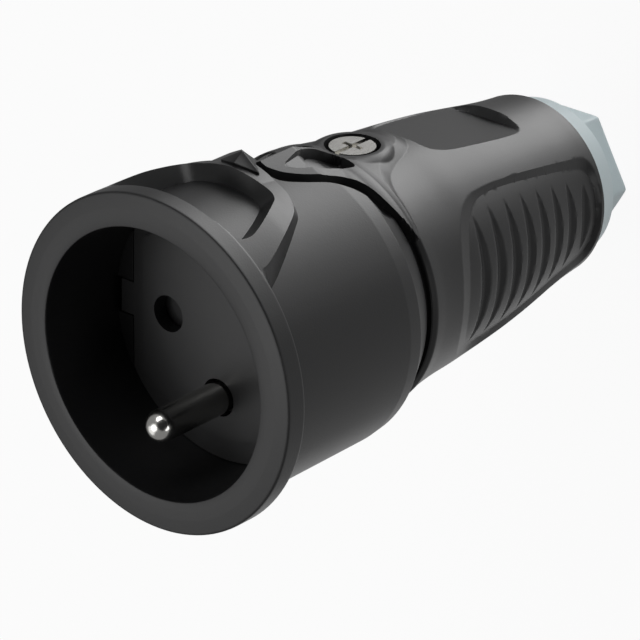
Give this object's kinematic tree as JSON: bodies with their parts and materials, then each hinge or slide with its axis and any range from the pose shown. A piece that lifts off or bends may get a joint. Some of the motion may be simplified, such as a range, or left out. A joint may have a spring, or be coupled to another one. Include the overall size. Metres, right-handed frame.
{
  "type": "in-line power socket",
  "caption": "Round in-line power socket with a fixed earth pin, shuttered contacts, screwed two-part housing and a cord gland.",
  "frame": {"origin": "centre of the cord entry at the flat end of the gland nut, on which the socket stands", "axes": "+Z along the socket towards its mouth; the housing screw faces -Y and the earth pin is on the +Y side"},
  "size_m": [0.05, 0.0509, 0.0934],
  "materials": {
    "black_plastic": "satin, fine grain",
    "insert_plastic": "satin",
    "shutter_plastic": "satin",
    "carrier_plastic": "satin",
    "nut_plastic": "satin",
    "nickel": "bright nickel plate",
    "brass": "plain",
    "steel": "zinc plate",
    "seal_rubber": "matt",
    "clamp_plastic": "satin"
  },
  "bodies": {
    "gland_nut": {"gland_nut": "nut_plastic"},
    "cord_clamp": {"clamp_ring": "clamp_plastic", "gland_seal": "seal_rubber"},
    "housing": {"front_shell": "black_plastic", "rear_shell": "black_plastic", "contact_insert": "insert_plastic", "shutter_spring": "steel", "contact_carrier": "carrier_plastic", "insert_screws": "steel", "earth_pin": "nickel", "earth_terminal": "brass", "live_contact": "brass", "neutral_contact": "brass", "live_contact_clip": "steel", "neutral_contact_clip": "steel", "housing_nut": "brass", "screw_washer": "steel", "live_clamp_plate": "steel", "neutral_clamp_plate": "steel", "earth_clamp_plate": "steel"},
    "shutter": {"shutter": "shutter_plastic"},
    "housing_screw": {"housing_screw": "nickel"},
    "live_terminal_screw": {"live_terminal_screw": "steel"},
    "neutral_terminal_screw": {"neutral_terminal_screw": "steel"},
    "earth_terminal_screw": {"earth_terminal_screw": "steel"}
  },
  "joints": [
    {"name": "gland_turn", "type": "hinge", "parent": "gland_nut", "child": "cord_clamp", "pos_m": [0, 0, 0], "axis": [0, 0, 1], "range_deg": [0, 720]},
    {"name": "gland_travel", "type": "slide", "parent": "cord_clamp", "child": "housing", "axis": [0, 0, 1], "range_m": [0, 0.003]},
    {"name": "shutter_turn", "type": "hinge", "parent": "housing", "child": "shutter", "pos_m": [0, 0, 0.0759], "axis": [0, 0, 1], "range_deg": [0, 38], "stiffness_Nm_per_rad": 0.004, "springref_deg": -20.05},
    {"name": "housing_screw_turn", "type": "hinge", "parent": "housing", "child": "housing_screw", "pos_m": [0, -0.0185, 0.0509], "axis": [0, -1, 0], "range_deg": [0, 1800]},
    {"name": "live_screw_turn", "type": "hinge", "parent": "housing", "child": "live_terminal_screw", "pos_m": [0.0095, 0, 0.054], "axis": [0, 1, 0], "range_deg": [0, 1080]},
    {"name": "neutral_screw_turn", "type": "hinge", "parent": "housing", "child": "neutral_terminal_screw", "pos_m": [-0.0095, 0, 0.054], "axis": [0, 1, 0], "range_deg": [0, 1080]},
    {"name": "earth_screw_turn", "type": "hinge", "parent": "housing", "child": "earth_terminal_screw", "pos_m": [0, 0.0092, 0.054], "axis": [0, -1, 0], "range_deg": [0, 1080]}
  ],
  "couplings": [
    {"joint": "gland_travel", "follows": "gland_turn", "m_per_rad": 0.00023873}
  ]
}
